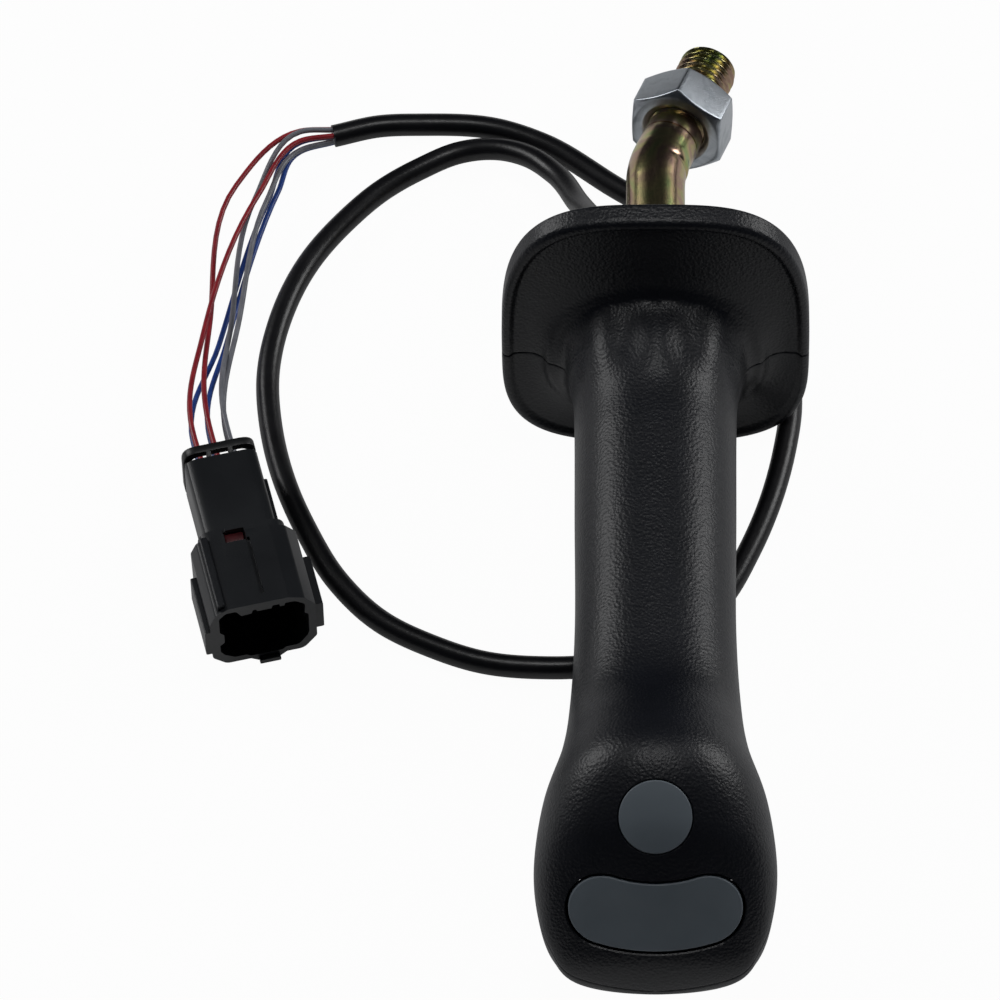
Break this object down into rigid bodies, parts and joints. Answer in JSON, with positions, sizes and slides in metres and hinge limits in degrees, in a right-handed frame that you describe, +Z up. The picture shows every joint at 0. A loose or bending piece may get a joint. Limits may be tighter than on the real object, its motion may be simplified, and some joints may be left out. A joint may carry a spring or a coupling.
{
  "type": "joystick grip",
  "caption": "Moulded grip with thumb button, rocker and flared hand rest on a bent threaded rod, with a looped cable and sealed plug.",
  "frame": {"origin": "centre of the grip and rod in plan, on the surface that the joystick lies on", "axes": "+Z up from the surface, +Y along the rod away from the head, +X to the right as the hand rest is at the back"},
  "size_m": [0.1469, 0.26, 0.0736],
  "materials": {
    "grip_front": "textured moulded polyamide",
    "grip_rear": "textured moulded polyamide",
    "zinc_rod": "yellow-passivated zinc",
    "zinc_nut": "bright zinc",
    "steel": "plain steel",
    "caps": "satin moulded plastic",
    "carrier": "moulded polyamide",
    "switches": "moulded switch case",
    "plungers": "acetal",
    "rubber": "moulded rubber",
    "cable": "PVC sheath",
    "leads": "PVC insulation",
    "red": "PVC insulation",
    "blue": "PVC insulation",
    "grey": "PVC insulation",
    "connector": "glass-filled polyester",
    "lock": "moulded polyester",
    "pins": "tinned brass",
    "seals": "silicone rubber"
  },
  "bodies": {
    "grip": {"front_shell": "grip_front", "rear_shell": "grip_rear", "stud_rod": "zinc_rod", "rod_cross_pin": "steel", "rocker_pivot_pin": "steel", "switch_carrier": "carrier", "carrier_screws": "steel", "button_microswitch": "switches", "rocker_microswitch_left": "switches", "rocker_microswitch_right": "switches", "shell_screws": "steel", "cable_grommet": "rubber", "inner_cable": "cable", "inner_leads": "leads", "signal_cable": "cable", "red_wire_a": "red", "red_wire_b": "red", "blue_wire_a": "blue", "blue_wire_b": "blue", "grey_wire_a": "grey", "grey_wire_b": "grey", "connector_housing": "connector", "connector_rear_holder": "connector", "connector_lock": "lock", "connector_pins": "pins", "wire_seals": "seals"},
    "button": {"push_button": "caps"},
    "rocker": {"rocker_cap": "caps"},
    "plunger_left": {"rocker_plunger_left": "plungers"},
    "plunger_right": {"rocker_plunger_right": "plungers"},
    "nut": {"lock_nut": "zinc_nut"}
  },
  "joints": [
    {"name": "button_press", "type": "slide", "parent": "grip", "child": "button", "axis": [0, 0.5798, -0.8147], "range_m": [0, 0.002], "stiffness_N_per_m": 1500},
    {"name": "rocker_tilt", "type": "hinge", "parent": "grip", "child": "rocker", "pos_m": [0, -0.11241, 0.0248], "axis": [0, 0.5656, 0.8247], "range_deg": [-4, 4], "stiffness_Nm_per_rad": 1.2},
    {"name": "plunger_left_slide", "type": "slide", "parent": "grip", "child": "plunger_left", "axis": [0, 0.8247, -0.5656], "range_m": [-0.0008, 0.0008]},
    {"name": "plunger_right_slide", "type": "slide", "parent": "grip", "child": "plunger_right", "axis": [0, 0.8247, -0.5656], "range_m": [-0.0008, 0.0008]},
    {"name": "nut_turn", "type": "hinge", "parent": "grip", "child": "nut", "pos_m": [0.00643, 0.10848, 0.02447], "axis": [0.3173, 0.9239, -0.214], "continuous": true}
  ],
  "couplings": [
    {"joint": "plunger_left_slide", "follows": "rocker_tilt", "m_per_rad": -0.01},
    {"joint": "plunger_right_slide", "follows": "rocker_tilt", "m_per_rad": 0.01}
  ]
}
